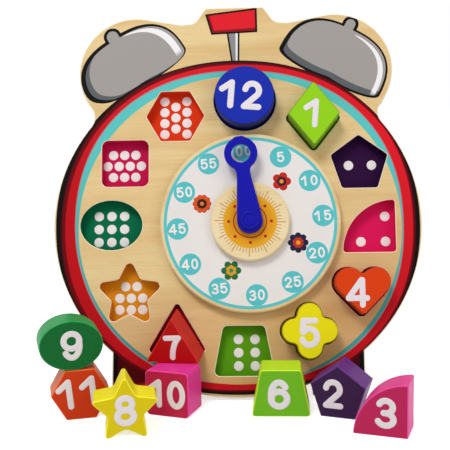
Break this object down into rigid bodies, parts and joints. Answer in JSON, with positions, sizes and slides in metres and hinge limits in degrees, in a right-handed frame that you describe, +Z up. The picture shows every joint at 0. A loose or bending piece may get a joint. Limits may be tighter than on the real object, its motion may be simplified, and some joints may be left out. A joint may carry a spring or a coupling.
{
  "type": "teaching clock",
  "caption": "Leaning wooden teaching clock with a turning minute dial and hand, and shaped number blocks that fit recesses in its face.",
  "frame": {"origin": "centre of the object's bounding box at the table, loose blocks included", "axes": "+X to the right seen from the front, +Y from the front towards the rear props, +Z up; the board leans back 16 degrees from +Z"},
  "size_m": [0.2918, 0.2002, 0.3007],
  "materials": {
    "printed_ply": "printed artwork under satin varnish",
    "bare_ply": "sanded plywood",
    "beech": "sanded",
    "steel_pin": "plain",
    "spacer": "plain",
    "dial_wood": "white printed face, bare wood rim",
    "sun_wood": "printed face, bare wood rim",
    "blue_plastic": "glossy",
    "paint_01": "glossy toy paint over wood",
    "paint_02": "glossy toy paint over wood",
    "paint_03": "glossy toy paint over wood",
    "paint_04": "glossy toy paint over wood",
    "paint_05": "glossy toy paint over wood",
    "paint_06": "glossy toy paint over wood",
    "paint_07": "glossy toy paint over wood",
    "paint_08": "glossy toy paint over wood",
    "paint_09": "glossy toy paint over wood",
    "paint_10": "glossy toy paint over wood",
    "paint_11": "glossy toy paint over wood",
    "paint_12": "glossy toy paint over wood"
  },
  "bodies": {
    "clock_frame": {"front_panel": "printed_ply", "back_panel": "bare_ply", "prop_left": "bare_ply", "prop_right": "bare_ply", "prop_dowel": "beech", "axle": "steel_pin", "axle_washer": "steel_pin", "dial_spacer": "spacer", "sun_spacer": "spacer", "hand_spacer": "spacer", "hub_cap": "blue_plastic"},
    "dial": {"dial_disc": "dial_wood"},
    "sun": {"sun_disc": "sun_wood"},
    "hand": {"hand": "blue_plastic"},
    "block_01": {"block_01": "paint_01"},
    "block_02": {"block_02": "paint_02"},
    "block_03": {"block_03": "paint_03"},
    "block_04": {"block_04": "paint_04"},
    "block_05": {"block_05": "paint_05"},
    "block_06": {"block_06": "paint_06"},
    "block_07": {"block_07": "paint_07"},
    "block_08": {"block_08": "paint_08"},
    "block_09": {"block_09": "paint_09"},
    "block_10": {"block_10": "paint_10"},
    "block_11": {"block_11": "paint_11"},
    "block_12": {"block_12": "paint_12"}
  },
  "joints": [
    {"name": "dial_turn", "type": "hinge", "parent": "clock_frame", "child": "dial", "pos_m": [0.01274, 0.01331, 0.13169], "axis": [0, -0.9613, 0.2756], "continuous": true},
    {"name": "sun_turn", "type": "hinge", "parent": "clock_frame", "child": "sun", "pos_m": [0.01274, 0.01331, 0.13169], "axis": [0, -0.9613, 0.2756], "continuous": true},
    {"name": "hand_turn", "type": "hinge", "parent": "clock_frame", "child": "hand", "pos_m": [0.01274, 0.01331, 0.13169], "axis": [0, -0.9613, 0.2756], "continuous": true},
    {"name": "block_01_lift", "type": "slide", "parent": "clock_frame", "child": "block_01", "axis": [0, -0.9613, 0.2756], "range_m": [0, 0.04]},
    {"name": "block_02_lift", "type": "slide", "parent": "clock_frame", "child": "block_02", "axis": [0, 0, 1], "range_m": [0, 0.15]},
    {"name": "block_03_lift", "type": "slide", "parent": "clock_frame", "child": "block_03", "axis": [0, 0, 1], "range_m": [0, 0.15]},
    {"name": "block_04_lift", "type": "slide", "parent": "clock_frame", "child": "block_04", "axis": [0, -0.9613, 0.2756], "range_m": [0, 0.04]},
    {"name": "block_05_lift", "type": "slide", "parent": "clock_frame", "child": "block_05", "axis": [0, -0.9613, 0.2756], "range_m": [0, 0.04]},
    {"name": "block_06_lift", "type": "slide", "parent": "clock_frame", "child": "block_06", "axis": [0, 0, 1], "range_m": [0, 0.15]},
    {"name": "block_07_lift", "type": "slide", "parent": "clock_frame", "child": "block_07", "axis": [0, -0.9613, 0.2756], "range_m": [0, 0.04]},
    {"name": "block_08_lift", "type": "slide", "parent": "clock_frame", "child": "block_08", "axis": [0, 0, 1], "range_m": [0, 0.15]},
    {"name": "block_09_lift", "type": "slide", "parent": "block_11", "child": "block_09", "axis": [0, 0, 1], "range_m": [0, 0.15]},
    {"name": "block_10_slide", "type": "slide", "parent": "clock_frame", "child": "block_10", "axis": [1, 0, 0], "range_m": [0, 0.03]},
    {"name": "block_11_lift", "type": "slide", "parent": "clock_frame", "child": "block_11", "axis": [0, 0, 1], "range_m": [0, 0.15]},
    {"name": "block_12_lift", "type": "slide", "parent": "clock_frame", "child": "block_12", "axis": [0, -0.9613, 0.2756], "range_m": [0, 0.04]}
  ]
}
